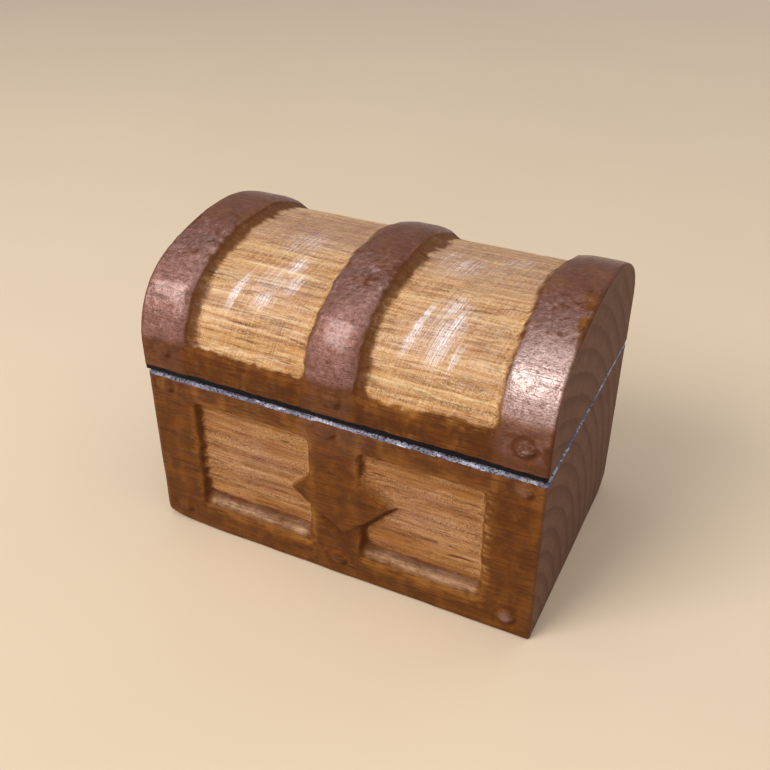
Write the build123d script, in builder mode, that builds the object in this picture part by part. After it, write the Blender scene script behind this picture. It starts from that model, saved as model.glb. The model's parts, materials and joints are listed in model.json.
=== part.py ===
"""Carved wooden treasure-chest keepsake box with a hinged barrel lid.

Millimetres, +Z up. The origin is the middle of the base's underside; the carved front faces -Y and
the hinges are at +Y. The lid turns about +X through the hinge pins.
"""
from build123d import *
import math
import os

os.makedirs("parts", exist_ok=True)

# ---------------------------------------------------------------- driving dimensions
LENGTH = 70.0            # X, over the sawn ends
DEPTH = 45.0             # Y, over the crests of the carved bands
SEAM_Z = 31.5            # height of the joint between base and lid
TOP_Z = 52.5             # crown of the lid
RIM_GAP = 0.1            # air between the two rims when shut

HALF_L = LENGTH / 2
HALF_D = DEPTH / 2
BASE_TOP = SEAM_Z - RIM_GAP / 2
LID_BOTTOM = SEAM_Z + RIM_GAP / 2

# Barrel lid: on each side of the crown a straight wall, a shoulder arc and a crown arc.
CROWN_Y = 3.0
FRONT_WALL_TOP = 36.5
FRONT_SHOULDER_R = 13.9
BACK_WALL_TOP = 40.0
BACK_SHOULDER_R = 9.4

# Carved relief.
RELIEF = 1.6             # depth of the plank panels below the bands
END_BAND = 8.6           # width of each end band
STRAP = 8.8              # width of the centre band
PANEL_INNER = STRAP / 2
PANEL_OUTER = HALF_L - END_BAND
PANEL_LOW = 5.0
PANEL_HIGH = 27.0
PANEL_SLOPE = 0.5        # run of a panel's steep edges
LEDGE = 2.4              # run of the sloped sill at a panel's foot
LID_RAIL_TOP = 38.0
LOZENGE_HALF_W = 9.5
LOZENGE_HALF_H = 8.0
LOZENGE_Z = 16.5
LOZENGE_SLOPE = 0.6
RIVET_R = 1.9
RIVET_H = 0.5
RIVET_X = HALF_L - 4.2
RIVET_LOW_Z = 3.6
RIVET_HIGH_Z = 28.6
RIVET_LID_Z = 35.4

# Edges.
CORNER_R = 0.8
FOOT_R = 0.5
SEAM_CHAMFER = 0.8

# Hollows and lining.
END_WALL = 7.0
FRONT_WALL = 6.0
BACK_WALL = 8.0
FLOOR = 6.0
LID_HOLLOW_TOP = 43.0
HOLLOW_R = 4.0
FELT = 0.8
FELT_EDGE = 2.5          # bare wood left above the wall felt

HOLLOW_L = LENGTH - 2 * END_WALL
HOLLOW_D = DEPTH - FRONT_WALL - BACK_WALL
HOLLOW_Y = (FRONT_WALL - BACK_WALL) / 2

# Closing magnets, in the front corners of the rims.
MAGNET_R = 1.5
MAGNET_T = 2.0
MAGNET_X = 31.0
MAGNET_Y = -18.5

# Hinges.
HINGE_X = 18.0           # middle of each hinge
HINGE_W = 12.0
LEAF_T = 0.8
LEAF_FRONT_Y = 17.5
LEAF_BACK_Y = HALF_D - 0.1
MORTISE_FIT = 0.05
AXIS_Y = HALF_D + 1.5
AXIS_Z = SEAM_Z
KNUCKLE_R = 1.2
KNUCKLE_GAP = 0.15
PIN_R = 0.5
PIN_CLEARANCE = 0.05
OPEN_ANGLE = 105.0       # the heels meet here
HEEL_ANGLE = OPEN_ANGLE / 2 + 0.1
HEEL_R = 2.5
HEEL_ROOT_R = 0.9        # starts inside the leaf's own knuckle
HEEL_FREE_R = 1.45       # clears the other leaf's knuckles

KNUCKLE_L = (HINGE_W - 2 * KNUCKLE_GAP) / 3
OUTER_KNUCKLE_X = (HINGE_W - KNUCKLE_L) / 2

# Hinge screws.
SCREW_X = 3.2            # from the middle of the hinge
SCREW_Y = 19.9
SCREW_HEAD_R = 1.1
SCREW_R = 0.5
SCREW_L = 4.5
SLOT_W = 0.3
SLOT_DEPTH = 0.25

SIDES = {"left": -1, "right": 1}


# ---------------------------------------------------------------- helpers
def save(part, name):
    """Label one finished piece and write it to its own STEP file."""
    part.label = name
    export_step(part, f"parts/{name}.step")
    print(f"{name:28s} {part.volume / 1000:9.4f} cm3")


def shoulder_and_crown(half_width, rise, shoulder_r):
    """Crown radius, and the point where shoulder and crown arcs meet, from the springing's centre."""
    run = half_width - shoulder_r
    crown_r = (run**2 + rise**2 - shoulder_r**2) / (2 * (rise - shoulder_r))
    angle = math.atan2(crown_r - rise, run)
    meet = (crown_r * math.cos(angle), rise - crown_r + crown_r * math.sin(angle))
    return crown_r, meet


def arch_points(side, inset):
    """Springing, shoulder midpoint, meeting point and crown midpoint of one side of the arch."""
    if side < 0:
        wall_top, shoulder_r = FRONT_WALL_TOP, FRONT_SHOULDER_R
    else:
        wall_top, shoulder_r = BACK_WALL_TOP, BACK_SHOULDER_R
    half_width = HALF_D - side * CROWN_Y
    rise = TOP_Z - wall_top
    crown_r, meet = shoulder_and_crown(half_width, rise, shoulder_r)
    run = half_width - shoulder_r
    meet_angle = math.atan2(meet[1], meet[0] - run)
    crown_angle = (meet_angle + math.pi / 2) / 2

    def on_shoulder(angle):
        r = shoulder_r - inset
        return (CROWN_Y + side * (run + r * math.cos(angle)), wall_top + r * math.sin(angle))

    def on_crown(angle):
        r = crown_r - inset
        return (CROWN_Y + side * r * math.cos(angle), TOP_Z - crown_r + r * math.sin(angle))

    return on_shoulder(0), on_shoulder(meet_angle / 2), on_shoulder(meet_angle), on_crown(crown_angle)


def lid_section(inset, bottom):
    """Face of the lid's cross-section, set in from the bands' crest, on the YZ plane."""
    front = arch_points(-1, inset)
    back = arch_points(1, inset)
    crown = (CROWN_Y, TOP_Z - inset)
    with BuildSketch(Plane.YZ) as section:
        with BuildLine():
            Line((front[0][0], bottom), front[0])
            ThreePointArc(front[0], front[1], front[2])
            ThreePointArc(front[2], front[3], crown)
            ThreePointArc(crown, back[3], back[2])
            ThreePointArc(back[2], back[1], back[0])
            Line(back[0], (back[0][0], bottom))
            Line((back[0][0], bottom), (front[0][0], bottom))
        make_face()
    return section.sketch_local


def rivet_dome():
    """Shallow domed rivet head about +Z, with a short root below the surface."""
    with BuildPart() as dome:
        with BuildSketch(Plane.XZ):
            with BuildLine():
                Line((0, -RIVET_H), (RIVET_R, -RIVET_H))
                Line((RIVET_R, -RIVET_H), (RIVET_R, 0))
                RadiusArc((RIVET_R, 0), (0, RIVET_H), -(RIVET_R**2 + RIVET_H**2) / (2 * RIVET_H))
                Line((0, RIVET_H), (0, -RIVET_H))
            make_face()
        revolve(axis=Axis.Z)
    return dome.part


def rivet_places(heights):
    """Rivet positions on the front and back faces: at both ends and the middle of each height."""
    places = []
    for z in heights:
        for x in (-RIVET_X, 0, RIVET_X):
            places.append(Plane(origin=(x, -HALF_D, z), x_dir=(1, 0, 0), z_dir=(0, -1, 0)))
            places.append(Plane(origin=(x, HALF_D, z), x_dir=(1, 0, 0), z_dir=(0, 1, 0)))
    return places


def panel_cutter():
    """The two recessed panels of the base's front, with steep edges and a sloped sill."""
    centre_x = (PANEL_INNER + PANEL_OUTER) / 2
    width = PANEL_OUTER - PANEL_INNER
    mouth = (width, PANEL_HIGH - PANEL_LOW, (PANEL_HIGH + PANEL_LOW) / 2)
    floor_low = PANEL_LOW + LEDGE
    floor_high = PANEL_HIGH - PANEL_SLOPE
    floor = (width - 2 * PANEL_SLOPE, floor_high - floor_low, (floor_high + floor_low) / 2)
    with BuildPart() as cutter:
        for x in (-centre_x, centre_x):
            for (w, h, z), y in ((mouth, HALF_D), (floor, HALF_D - RELIEF)):
                with BuildSketch(Plane.XZ.offset(y)):
                    with Locations((x, z)):
                        Rectangle(w, h)
            loft(ruled=True)
    return cutter.part


def lozenge():
    """Diamond lock plate in relief on the base's front strap."""
    with BuildPart() as plate:
        for y, grow in ((HALF_D, 0.0), (HALF_D - RELIEF - PANEL_SLOPE, LOZENGE_SLOPE)):
            w = LOZENGE_HALF_W + grow
            h = LOZENGE_HALF_H + grow
            with BuildSketch(Plane.XZ.offset(y)):
                with Locations((0, LOZENGE_Z)):
                    Polygon((w, 0), (0, h), (-w, 0), (0, -h))
        loft(ruled=True)
    return plate.part


def hinge_pockets(rim_z, into):
    """Leaf mortises and pilot holes of both hinges; into is -1 down into the base, +1 up into the lid."""
    seat_z = rim_z + into * LEAF_T
    with BuildPart() as pockets:
        with BuildSketch(Plane.XY.offset(seat_z)):
            with Locations((-HINGE_X, LEAF_FRONT_Y - MORTISE_FIT), (HINGE_X, LEAF_FRONT_Y - MORTISE_FIT)):
                Rectangle(HINGE_W + 2 * MORTISE_FIT, HALF_D, align=(Align.CENTER, Align.MIN))
        extrude(amount=-into * 2 * LEAF_T)
        with BuildSketch(Plane.XY.offset(seat_z)):
            with Locations(*screw_places()):
                Circle(SCREW_R)
        extrude(amount=into * (SCREW_L - LEAF_T))
    return pockets.part


def screw_places():
    """Plan positions of the four screws of one rim."""
    return [(side * HINGE_X + dx, SCREW_Y) for side in SIDES.values() for dx in (-SCREW_X, SCREW_X)]


def magnet_places():
    """Plan positions of the two magnets of one rim."""
    return [(side * MAGNET_X, MAGNET_Y) for side in SIDES.values()]


# ---------------------------------------------------------------- wood
def make_base_block():
    panels = panel_cutter()
    lock_plate = lozenge()
    dome = rivet_dome()
    pockets = hinge_pockets(BASE_TOP, -1)
    with BuildPart() as base_block:
        with BuildSketch():
            Rectangle(LENGTH, DEPTH)
        extrude(amount=BASE_TOP)
        fillet(base_block.edges().filter_by(Axis.Z), radius=CORNER_R)
        fillet(base_block.faces().sort_by(Axis.Z)[0].edges(), radius=FOOT_R)
        chamfer(base_block.faces().sort_by(Axis.Z)[-1].edges(), length=SEAM_CHAMFER)
        with Locations(*rivet_places((RIVET_LOW_Z, RIVET_HIGH_Z))):
            add(dome)
        add(panels, mode=Mode.SUBTRACT)
        add(mirror(panels, about=Plane.XZ, mode=Mode.PRIVATE), mode=Mode.SUBTRACT)
        add(lock_plate)
        with BuildSketch(Plane.XY.offset(BASE_TOP)):
            with Locations((0, HOLLOW_Y)):
                RectangleRounded(HOLLOW_L, HOLLOW_D, HOLLOW_R)
        extrude(amount=FLOOR - BASE_TOP, mode=Mode.SUBTRACT)
        add(pockets, mode=Mode.SUBTRACT)
        with BuildSketch(Plane.XY.offset(BASE_TOP)):
            with Locations(*magnet_places()):
                Circle(MAGNET_R)
        extrude(amount=-MAGNET_T, mode=Mode.SUBTRACT)
    return base_block.part


def make_lid_block():
    outer = lid_section(0, LID_BOTTOM)
    inner = lid_section(RELIEF, LID_BOTTOM - RELIEF)
    dome = rivet_dome()
    pockets = hinge_pockets(LID_BOTTOM, 1)
    centre_x = (PANEL_INNER + PANEL_OUTER) / 2
    panel_half = (PANEL_OUTER - PANEL_INNER) / 2

    with BuildPart() as planks:
        for x in (-centre_x, centre_x):
            with BuildSketch(Plane.YZ.offset(x)):
                add(outer)
                add(inner, mode=Mode.SUBTRACT)
                with Locations((0, 0)):
                    Rectangle(2 * DEPTH, 2 * LID_RAIL_TOP, mode=Mode.SUBTRACT)
            extrude(amount=panel_half, both=True)

    with BuildPart() as lid_block:
        with BuildSketch(Plane.YZ):
            add(outer)
        extrude(amount=HALF_L, both=True)
        chamfer(lid_block.faces().sort_by(Axis.Z)[0].edges(), length=SEAM_CHAMFER)
        with Locations(*rivet_places((RIVET_LID_Z,))):
            add(dome)
        add(planks.part, mode=Mode.SUBTRACT)
        with BuildSketch(Plane.XY.offset(LID_BOTTOM)):
            with Locations((0, HOLLOW_Y)):
                RectangleRounded(HOLLOW_L, HOLLOW_D, HOLLOW_R)
        extrude(amount=LID_HOLLOW_TOP - LID_BOTTOM, mode=Mode.SUBTRACT)
        add(pockets, mode=Mode.SUBTRACT)
        with BuildSketch(Plane.XY.offset(LID_BOTTOM)):
            with Locations(*magnet_places()):
                Circle(MAGNET_R)
        extrude(amount=MAGNET_T, mode=Mode.SUBTRACT)
    return lid_block.part


# ---------------------------------------------------------------- hinges
def heel_face(up, root_r):
    """Wedge from the stop angle to the vertical, above (up=1) or below (up=-1) the pin."""
    stop = math.radians(HEEL_ANGLE)
    tip = (math.cos(stop), up * math.sin(stop))
    with BuildSketch(Plane.YZ) as wedge:
        with BuildLine():
            Polyline(
                (AXIS_Y + root_r * tip[0], AXIS_Z + root_r * tip[1]),
                (AXIS_Y + HEEL_R * tip[0], AXIS_Z + HEEL_R * tip[1]),
                (AXIS_Y, AXIS_Z + up * HEEL_R),
                (AXIS_Y, AXIS_Z + up * root_r),
                close=True,
            )
        make_face()
    return wedge.sketch_local


def make_leaf(hinge_x, up):
    """One leaf: up=-1 for the base's, with the outer knuckles, and up=1 for the lid's."""
    face_z = SEAM_Z + up * RIM_GAP / 2
    plate_z = face_z + up * LEAF_T / 2
    if up < 0:
        knuckles = [hinge_x - OUTER_KNUCKLE_X, hinge_x + OUTER_KNUCKLE_X]
        bore_r = PIN_R
    else:
        knuckles = [hinge_x]
        bore_r = PIN_R + PIN_CLEARANCE
    with BuildPart() as leaf:
        with BuildSketch(Plane.XY.offset(plate_z)):
            with Locations((hinge_x, LEAF_FRONT_Y)):
                Rectangle(HINGE_W, LEAF_BACK_Y - LEAF_FRONT_Y, align=(Align.CENTER, Align.MIN))
            for x in knuckles:
                with Locations((x, LEAF_BACK_Y)):
                    Rectangle(KNUCKLE_L, AXIS_Y - LEAF_BACK_Y, align=(Align.CENTER, Align.MIN))
        extrude(amount=LEAF_T / 2, both=True)
        for x in knuckles:
            with BuildSketch(Plane.YZ.offset(x)):
                with Locations((AXIS_Y, AXIS_Z)):
                    Circle(KNUCKLE_R)
                add(heel_face(up, HEEL_ROOT_R))
            extrude(amount=KNUCKLE_L / 2, both=True)
        if up > 0:
            with BuildSketch(Plane.YZ.offset(hinge_x)):
                add(heel_face(up, HEEL_FREE_R))
            extrude(amount=HINGE_W / 2, both=True)
        with BuildSketch(Plane.YZ.offset(hinge_x)):
            with Locations((AXIS_Y, AXIS_Z)):
                Circle(bore_r)
        extrude(amount=HINGE_W, both=True, mode=Mode.SUBTRACT)
        seat = Plane(origin=(hinge_x, SCREW_Y, face_z), x_dir=(1, 0, 0), z_dir=(0, 0, -up))
        with Locations(seat):
            with Locations((-SCREW_X, 0), (SCREW_X, 0)):
                CounterSinkHole(radius=SCREW_R, counter_sink_radius=SCREW_HEAD_R, counter_sink_angle=90)
    return leaf.part


def make_pin(hinge_x):
    with BuildPart() as pin:
        with BuildSketch(Plane.YZ.offset(hinge_x)):
            with Locations((AXIS_Y, AXIS_Z)):
                Circle(PIN_R)
        extrude(amount=HINGE_W / 2, both=True)
        chamfer(pin.edges().filter_by(GeomType.CIRCLE), length=PIN_R / 4)
    return pin.part


def screw():
    """Countersunk slotted screw about +Z, its head's top at the origin and its shank below."""
    with BuildPart() as body:
        with BuildSketch(Plane.XZ):
            with BuildLine():
                Polyline(
                    (0, 0),
                    (SCREW_HEAD_R, 0),
                    (SCREW_R, SCREW_R - SCREW_HEAD_R),
                    (SCREW_R, 2 * SCREW_R - SCREW_L),
                    (0, -SCREW_L),
                    close=True,
                )
            make_face()
        revolve(axis=Axis.Z)
        with BuildSketch():
            Rectangle(4 * SCREW_HEAD_R, SLOT_W)
        extrude(amount=-SLOT_DEPTH, mode=Mode.SUBTRACT)
    return body.part


def make_screws(hinge_x, up):
    """The two screws of one leaf, as separate solids."""
    one = screw()
    face_z = SEAM_Z + up * RIM_GAP / 2
    seat = Plane(origin=(hinge_x, SCREW_Y, face_z), x_dir=(1, 0, 0), z_dir=(0, 0, -up))
    with BuildPart() as screws:
        with Locations(seat):
            with Locations((-SCREW_X, 0), (SCREW_X, 0)):
                add(one)
    return screws.part


# ---------------------------------------------------------------- magnets and lining
def make_magnet(side, up):
    with BuildPart() as magnet:
        with BuildSketch(Plane.XY.offset(SEAM_Z + up * RIM_GAP / 2)):
            with Locations((side * MAGNET_X, MAGNET_Y)):
                Circle(MAGNET_R)
        extrude(amount=up * MAGNET_T)
    return magnet.part


def make_wall_felt():
    with BuildPart() as base_wall_felt:
        with BuildSketch(Plane.XY.offset(FLOOR)):
            with Locations((0, HOLLOW_Y)):
                RectangleRounded(HOLLOW_L, HOLLOW_D, HOLLOW_R)
                RectangleRounded(HOLLOW_L - 2 * FELT, HOLLOW_D - 2 * FELT, HOLLOW_R - FELT, mode=Mode.SUBTRACT)
        extrude(amount=BASE_TOP - FELT_EDGE - FLOOR)
    return base_wall_felt.part


def make_floor_felt():
    with BuildPart() as base_floor_felt:
        with BuildSketch(Plane.XY.offset(FLOOR)):
            with Locations((0, HOLLOW_Y)):
                RectangleRounded(HOLLOW_L - 2 * FELT, HOLLOW_D - 2 * FELT, HOLLOW_R - FELT)
        extrude(amount=FELT)
    return base_floor_felt.part


def make_lid_felt():
    with BuildPart() as lid_felt:
        with BuildSketch(Plane.XY.offset(LID_HOLLOW_TOP)):
            with Locations((0, HOLLOW_Y)):
                RectangleRounded(HOLLOW_L, HOLLOW_D, HOLLOW_R)
        extrude(amount=-FELT)
    return lid_felt.part


# ---------------------------------------------------------------- the whole box
save(make_base_block(), "base_block")
save(make_lid_block(), "lid_block")
for side_name, side in SIDES.items():
    x = side * HINGE_X
    save(make_leaf(x, -1), f"hinge_base_leaf_{side_name}")
    save(make_leaf(x, 1), f"hinge_lid_leaf_{side_name}")
    save(make_pin(x), f"hinge_pin_{side_name}")
    save(make_screws(x, -1), f"hinge_screws_base_{side_name}")
    save(make_screws(x, 1), f"hinge_screws_lid_{side_name}")
    save(make_magnet(side, -1), f"base_magnet_{side_name}")
    save(make_magnet(side, 1), f"lid_magnet_{side_name}")
save(make_wall_felt(), "base_wall_felt")
save(make_floor_felt(), "base_floor_felt")
save(make_lid_felt(), "lid_felt")
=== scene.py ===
"""Looks of the carved treasure-chest box: carved blocks, lining, hardware finishes, stage, light and camera."""

import json
import math

import bpy
import numpy as np
from mathutils import Matrix, Vector


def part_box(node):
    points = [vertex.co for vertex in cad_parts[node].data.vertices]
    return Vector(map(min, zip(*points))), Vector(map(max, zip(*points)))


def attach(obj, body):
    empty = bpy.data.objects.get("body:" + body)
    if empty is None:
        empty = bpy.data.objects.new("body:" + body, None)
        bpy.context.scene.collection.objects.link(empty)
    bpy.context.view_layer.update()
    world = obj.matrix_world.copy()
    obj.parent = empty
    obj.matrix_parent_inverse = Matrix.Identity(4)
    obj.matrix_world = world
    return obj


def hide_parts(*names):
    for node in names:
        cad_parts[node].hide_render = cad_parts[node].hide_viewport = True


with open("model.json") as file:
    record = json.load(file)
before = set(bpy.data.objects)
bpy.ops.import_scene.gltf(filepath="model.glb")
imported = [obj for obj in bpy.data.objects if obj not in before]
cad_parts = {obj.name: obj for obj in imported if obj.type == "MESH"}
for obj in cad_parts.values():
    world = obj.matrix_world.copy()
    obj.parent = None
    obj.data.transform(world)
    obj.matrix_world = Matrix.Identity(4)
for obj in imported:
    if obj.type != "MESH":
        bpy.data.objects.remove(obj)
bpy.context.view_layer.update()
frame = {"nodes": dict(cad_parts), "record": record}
MM = 0.001


# ---------------------------------------------------------------- sizes in mm
def box_mm(node):
    """The two corners of a CAD node's box."""
    lo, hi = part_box(node)
    return np.array(lo) / MM, np.array(hi) / MM


RIVET_H = 0.5            # how far the CAD block's rivets stand out
HALF_L, HALF_D, BASE_TOP = box_mm("base_block")[1] - (0, RIVET_H, 0)
LID_BOTTOM, TOP_Z = (corner[2] for corner in box_mm("lid_block"))
RIM_DROP = 0.04          # bare wood stands this far back from leaves and magnets
BASE_SEAM_Z = 0.68       # height of the base's painted edge, as a share of its inset
LID_SEAM_IN = 0.22       # inset of the lid's painted edge, as a share of its height

# Barrel section of the lid.
CROWN_Y = 3.0
FRONT_WALL_TOP, FRONT_SHOULDER_R = 36.5, 13.9
BACK_WALL_TOP, BACK_SHOULDER_R = 40.0, 9.4

# Hollows.
HOLLOW_X, HOLLOW_Y0, HOLLOW_Y1, HOLLOW_R = 28.0, -16.5, 14.5, 4.0
FLOOR_Z, CEILING_Z = 6.0, 43.0

# Relief of the base and of the lid.
RELIEF = 1.6             # depth of the panels
BAND_IN = 26.4           # inner edge of an end band
STRAP = 4.35             # half width of the centre band
PANEL_LOW, PANEL_HIGH = 4.9, 27.0
LEDGE = 2.9              # height of the sloping sill under a panel
LID_RAIL_TOP = 37.7
RIVET_R = 1.5
# Rivets, with their height last: x and z on the base, x and the distance under a panel on the lid.
BASE_RIVETS = ((-30.6, 3.7, 0.34), (0.5, 3.5, 0.34), (30.7, 3.4, 0.49),
               (-31.4, 29.1, 0.10), (-1.2, 29.1, 0.12), (31.6, 29.1, 0.22))
LID_RIVETS = ((0.4, 2.2, 0.26), (31.2, 1.4, 0.36), (-31.0, 1.7, 0.20))

# Lozenge on the front: centre, tilt in degrees, half diagonals and slope of its edge.
PLATE_X, PLATE_Z, PLATE_TILT = 1.0, 16.5, 4.6
PLATE_HALF_X, PLATE_HALF_Z, PLATE_SLOPE = 9.2, 7.9, 6.0

# Bundles of scratches with painted whitish sheen round them on the lid's front panels: x, arc length, half
# width, half length, strength.
SCRATCHES = ((11.2, 18.0, 0.9, 5.5, 1.0), (16.0, 18.0, 1.7, 6.0, 0.95), (18.3, 14.5, 0.8, 3.0, 0.7),
             (15.2, 24.0, 1.9, 3.0, 0.6), (9.6, 36.0, 2.2, 4.0, 0.35), (17.5, 35.0, 3.0, 4.0, 0.25),
             (-19.6, 17.5, 0.8, 4.0, 1.0), (-14.4, 16.5, 1.7, 2.4, 0.8), (-10.8, 20.5, 1.5, 3.0, 0.7),
             (-12.5, 25.0, 2.0, 3.0, 0.6), (-15.0, 30.0, 3.2, 4.0, 0.40), (14.5, 20.0, 5.0, 8.0, 0.42),
             (12.5, 34.0, 5.0, 4.5, 0.40), (20.0, 39.0, 4.0, 2.5, 0.36), (-14.5, 20.0, 4.6, 7.0, 0.40),
             (-14.0, 32.0, 4.6, 5.0, 0.42))
SCRATCH_SLANT = math.tan(math.radians(9))
CREASES = (6.0, 15.0, 23.5, 30.5, 52.0, 60.0, 69.0)    # arc lengths of the creases across the lid's bands
CREASE_SAG = 0.0030      # flattening between creases, per square mm of their spacing
CREASE_FAR = 10.0        # creases further apart than this have a smooth arch between them


# ---------------------------------------------------------------- noise and smooth steps
def lattice(ix, iy, seed):
    """A fixed value from -1 to 1 for each pair of whole numbers."""
    h = (ix.astype(np.int64) * 374761393 + iy.astype(np.int64) * 668265263 + seed * 974634777) & 0xFFFFFFFF
    h = ((h ^ (h >> 13)) * 1274126177) & 0xFFFFFFFF
    return ((h ^ (h >> 16)) & 0xFFFFFF) / 8388607.5 - 1


def value_noise(x, y, seed):
    """Smooth noise from -1 to 1 on the plane, one lump to a unit."""
    x, y = np.broadcast_arrays(np.asarray(x, float), np.asarray(y, float))
    ix, iy = np.floor(x), np.floor(y)
    ux, uy = (f**3 * (f * (f * 6 - 15) + 10) for f in (x - ix, y - iy))
    low = lattice(ix, iy, seed) * (1 - ux) + lattice(ix + 1, iy, seed) * ux
    high = lattice(ix, iy + 1, seed) * (1 - ux) + lattice(ix + 1, iy + 1, seed) * ux
    return low * (1 - uy) + high * uy


def fbm(x, y, seed, octaves=3):
    """Lumps with finer lumps on them, each octave turned a little, from -1 to 1."""
    total, weight = 0, 0
    for k in range(octaves):
        c, s = math.cos(0.6 * k), math.sin(0.6 * k)
        total = total + 0.5**k * value_noise((x * c - y * s) * 2**k, (x * s + y * c) * 2**k, seed + 17 * k)
        weight += 0.5**k
    return total / weight


def streaks(x, y, length, pitch, seed):
    """Noise drawn out along x: two layers of fibres of one length and pitch, from -1 to 1."""
    y = y + 0.9 * value_noise(x / 18, y / 9, seed + 5)
    a = value_noise(x / length, y / pitch, seed)
    b = value_noise(x / length * 1.7 + 9, y / pitch * 2.1, seed + 1)
    return 0.65 * a + 0.35 * b


def step(lo, hi, v):
    """0 where v is lo, 1 where it is hi, smoothed."""
    t = np.clip((v - lo) / (hi - lo), 0, 1)
    return t * t * (3 - 2 * t)


def bell(v, width):
    """1 where v is 0, fading away over the width on both sides."""
    return np.exp(-((v / width) ** 2))


def soft_min(distances, radius):
    """Least of several distances, with the corners between them rounded."""
    total = sum(np.exp(-np.clip(d, -40, 40) / radius) for d in distances)
    return -radius * np.log(total)


# ---------------------------------------------------------------- carved relief
def noises(x, y, seed):
    """Three kinds of noise over one carved face. Each layer has its own number."""
    def lumps(size_x, size_y, layer):
        return value_noise(x / size_x, y / size_y, seed + layer)

    def clouds(size_x, size_y, layer, octaves=3):
        return fbm(x / size_x, y / size_y, seed + layer, octaves)

    def fibres(length, pitch, layer):
        return streaks(x, y, length, pitch, seed + layer)

    return lumps, clouds, fibres


def wander(along, seed, *waves):
    """Wobble of a carved edge: waves of (size, pitch, row of the noise) along it."""
    return sum(size * value_noise(along / pitch, row, seed + k) for k, (size, pitch, row) in enumerate(waves))


def rivets(u, v, places):
    """Height of the rivet domes, the hollow round them and a mask of painted shade round each dome and beside
    its lower right.
    """
    height, hollow, pit_shade = 0.0, 0.0, 0.0
    for x, z, high in places:
        wobble = 1 + 0.10 * value_noise(u / 0.9 + x, v / 0.9 + z, 71)
        r = np.hypot(u - x, (v - z) * 1.08) * wobble / RIVET_R
        low_right = bell(u - x - 1.15, 0.55) * bell(v - z + 0.85, 0.55)
        height = height + high * np.sqrt(np.clip(1 - r**2, 0, 1)) ** 1.3
        hollow = hollow + 0.20 * bell(r - 1.25, 0.30) + 0.22 * low_right
        pit_shade = pit_shade + np.clip(0.40 * bell(r - 1.2, 0.25) + 0.85 * low_right, 0, 1)
    return height, hollow, np.clip(pit_shade, 0, 1)


def cracks(x, y, pitch, seed):
    """Long wavy splits along x, about one to a pitch: 1 in a split, 0 between."""
    warp = 0.9 * value_noise(x / 14, y / 6, seed + 5) + 0.20 * value_noise(x / 2.4, y / 2.0, seed + 6)
    at = (y + warp) / pitch
    row = np.floor(at)
    place = 0.5 + 0.36 * lattice(row, 0 * row, seed)
    away = np.abs(at - row - place) * pitch
    gape = 0.5 + 0.5 * value_noise(x / 5.5 + 3.7 * row, 1.3 * row, seed + 7)
    return step(0.10 + 0.26 * gape, 0.03, away) * step(0.32, 0.66, gape)


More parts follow.
